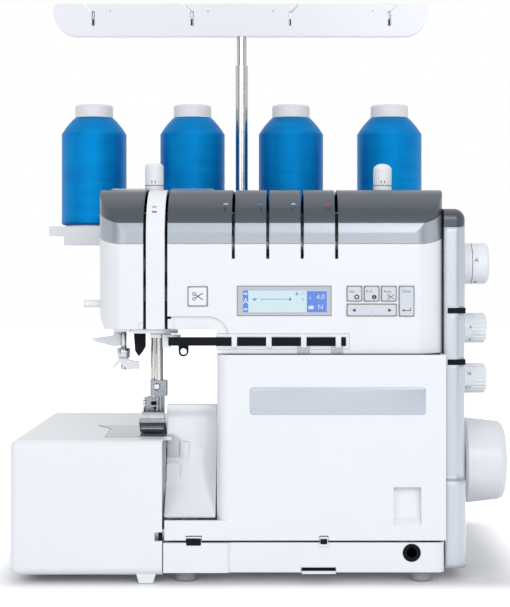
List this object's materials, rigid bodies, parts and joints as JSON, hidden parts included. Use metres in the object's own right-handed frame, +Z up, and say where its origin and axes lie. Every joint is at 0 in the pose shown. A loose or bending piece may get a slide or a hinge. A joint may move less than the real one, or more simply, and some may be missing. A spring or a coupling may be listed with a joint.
{
  "type": "serger overlock machine",
  "caption": "Tabletop overlock sewing machine with thread cones on a rear stand, telescopic thread guide, opening looper cover, slide-off table, handwheel and side dials.",
  "frame": {"origin": "middle of the overall box on the floor the feet stand on", "axes": "+Z up, the operator stands at -Y and looks along +Y, the handwheel is at +X"},
  "size_m": [0.405, 0.28, 0.505],
  "materials": {
    "white_plastic": "satin moulded white",
    "dark_plastic": "dark metallic lacquer",
    "silver_plastic": "silver metallic lacquer",
    "black_plastic": "moulded black",
    "key_plastic": "pale grey keys",
    "window_plastic": "clear window over a pale display",
    "board": "green circuit board",
    "steel": "polished steel",
    "chrome": "chromed tube",
    "casting": "cast and machined",
    "motor_paint": "grey lacquer",
    "bronze": "sintered bronze",
    "rubber": "black rubber",
    "thread": "blue polyester thread"
  },
  "bodies": {
    "machine": {"base_tray": "white_plastic", "chute_cover": "white_plastic", "circuit_board": "board", "cone_cores": "white_plastic", "cone_tray": "white_plastic", "cover_screws": "steel", "display_window": "window_plastic", "drive_belt": "rubber", "front_cover": "white_plastic", "front_thread_guide": "black_plastic", "lower_knife": "steel", "main_frame": "casting", "mast_tube": "chrome", "motor": "motor_paint", "needle_plate": "steel", "power_inlet": "black_plastic", "rear_cover": "white_plastic", "rubber_feet": "rubber", "shaft_bushes": "bronze", "side_cap": "dark_plastic", "side_cover": "silver_plastic", "silver_band": "silver_plastic", "spool_pins": "white_plastic", "tension_units": "steel", "thread_cone_1": "thread", "thread_cone_2": "thread", "thread_cone_3": "thread", "thread_cone_4": "thread", "thread_strip": "white_plastic", "top_cover": "dark_plastic"},
    "looper_door": {"looper_cover": "white_plastic"},
    "table": {"extension_table": "white_plastic"},
    "drive": {"main_shaft": "steel", "handwheel": "white_plastic"},
    "motor_rotor": {"motor_pulley": "steel"},
    "needle_carriage": {"needle_bar": "steel", "needle_clamp": "steel", "needles": "steel"},
    "presser": {"presser_bar": "steel", "presser_foot": "steel"},
    "knee_lift": {"knee_socket": "black_plastic"},
    "looper_upper": {"upper_looper": "steel"},
    "looper_lower": {"lower_looper": "steel"},
    "knife": {"upper_knife": "steel"},
    "feed": {"feed_dogs": "steel"},
    "mast": {"mast_rod": "chrome", "thread_guide_bar": "white_plastic"},
    "dial_stitch": {"stitch_dial": "white_plastic"},
    "dial_differential": {"differential_dial": "white_plastic"},
    "dial_length": {"length_dial": "white_plastic"},
    "knob_pressure": {"pressure_knob": "white_plastic"},
    "knob_top": {"top_knob": "white_plastic"},
    "key_cutter": {"cutter_key": "key_plastic"},
    "key_set": {"set_key": "key_plastic"},
    "key_info": {"info_key": "key_plastic"},
    "key_auto": {"auto_key": "key_plastic"},
    "key_arrows": {"arrow_key": "key_plastic"},
    "key_enter": {"enter_key": "key_plastic"},
    "switch": {"power_switch": "black_plastic"},
    "threader": {"threader_lever": "white_plastic"}
  },
  "joints": [
    {"name": "looper_door_hinge", "type": "hinge", "parent": "machine", "child": "looper_door", "pos_m": [0.0185, -0.1384, 0.0371], "axis": [1, 0, 0], "range_deg": [0, 85]},
    {"name": "table_slide", "type": "slide", "parent": "machine", "child": "table", "axis": [-1, 0, 0], "range_m": [0, 0.13]},
    {"name": "handwheel_turn", "type": "hinge", "parent": "machine", "child": "drive", "pos_m": [0.1676, -0.07, 0.091], "axis": [1, 0, 0], "continuous": true},
    {"name": "motor_turn", "type": "hinge", "parent": "machine", "child": "motor_rotor", "pos_m": [0.136, 0.025, 0.062], "axis": [1, 0, 0], "continuous": true},
    {"name": "needle_stroke", "type": "slide", "parent": "machine", "child": "needle_carriage", "axis": [0, 0, 1], "range_m": [-0.019, 0.003]},
    {"name": "presser_lift", "type": "slide", "parent": "machine", "child": "presser", "axis": [0, 0, 1], "range_m": [0, 0.006]},
    {"name": "knee_turn", "type": "hinge", "parent": "machine", "child": "knee_lift", "pos_m": [0.1201, -0.1375, 0.0252], "axis": [0, 1, 0], "range_deg": [0, 30.5]},
    {"name": "upper_looper_swing", "type": "hinge", "parent": "machine", "child": "looper_upper", "pos_m": [-0.0475, -0.09, 0.052], "axis": [0, 1, 0], "range_deg": [-10, 10]},
    {"name": "lower_looper_swing", "type": "hinge", "parent": "machine", "child": "looper_lower", "pos_m": [-0.0615, -0.081, 0.044], "axis": [0, 1, 0], "range_deg": [-12, 12]},
    {"name": "knife_stroke", "type": "slide", "parent": "machine", "child": "knife", "axis": [0, 0, 1], "range_m": [-0.008, 0]},
    {"name": "feed_stroke", "type": "slide", "parent": "machine", "child": "feed", "axis": [0, 1, 0], "range_m": [-0.002, 0.002]},
    {"name": "mast_slide", "type": "slide", "parent": "machine", "child": "mast", "axis": [0, 0, 1], "range_m": [-0.055, 0]},
    {"name": "stitch_dial_turn", "type": "hinge", "parent": "machine", "child": "dial_stitch", "pos_m": [0.166, -0.08, 0.257], "axis": [1, 0, 0], "range_deg": [-150, 150]},
    {"name": "differential_dial_turn", "type": "hinge", "parent": "machine", "child": "dial_differential", "pos_m": [0.166, -0.08, 0.203], "axis": [1, 0, 0], "range_deg": [-90, 180]},
    {"name": "length_dial_turn", "type": "hinge", "parent": "machine", "child": "dial_length", "pos_m": [0.166, -0.08, 0.161], "axis": [1, 0, 0], "range_deg": [-60, 210]},
    {"name": "pressure_knob_turn", "type": "hinge", "parent": "machine", "child": "knob_pressure", "pos_m": [-0.0915, -0.077, 0.318], "axis": [0, 0, 1], "range_deg": [-180, 180]},
    {"name": "top_knob_turn", "type": "hinge", "parent": "machine", "child": "knob_top", "pos_m": [0.1005, -0.077, 0.318], "axis": [0, 0, 1], "range_deg": [-90, 90]},
    {"name": "cutter_key_press", "type": "slide", "parent": "machine", "child": "key_cutter", "axis": [0, 1, 0], "range_m": [0, 0.001], "stiffness_N_per_m": 300},
    {"name": "set_key_press", "type": "slide", "parent": "machine", "child": "key_set", "axis": [0, 1, 0], "range_m": [0, 0.001], "stiffness_N_per_m": 300},
    {"name": "info_key_press", "type": "slide", "parent": "machine", "child": "key_info", "axis": [0, 1, 0], "range_m": [0, 0.001], "stiffness_N_per_m": 300},
    {"name": "auto_key_press", "type": "slide", "parent": "machine", "child": "key_auto", "axis": [0, 1, 0], "range_m": [0, 0.001], "stiffness_N_per_m": 300},
    {"name": "enter_key_press", "type": "slide", "parent": "machine", "child": "key_enter", "axis": [0, 1, 0], "range_m": [0, 0.001], "stiffness_N_per_m": 300},
    {"name": "arrow_key_rock", "type": "hinge", "parent": "machine", "child": "key_arrows", "pos_m": [0.0883, -0.1266, 0.2197], "axis": [0, 0, 1], "range_deg": [-2, 2], "stiffness_Nm_per_rad": 0.06},
    {"name": "power_switch_rock", "type": "hinge", "parent": "machine", "child": "switch", "pos_m": [0.1615, 0.042, 0.084], "axis": [0, -1, 0], "range_deg": [0, 12]},
    {"name": "threader_swing", "type": "hinge", "parent": "machine", "child": "threader", "pos_m": [-0.1165, -0.085, 0.188], "axis": [0, 0, 1], "range_deg": [0, 40]}
  ],
  "couplings": [
    {"joint": "motor_turn", "follows": "handwheel_turn", "ratio": 2},
    {"joint": "knee_turn", "follows": "presser_lift", "rad_per_m": 87.266}
  ]
}
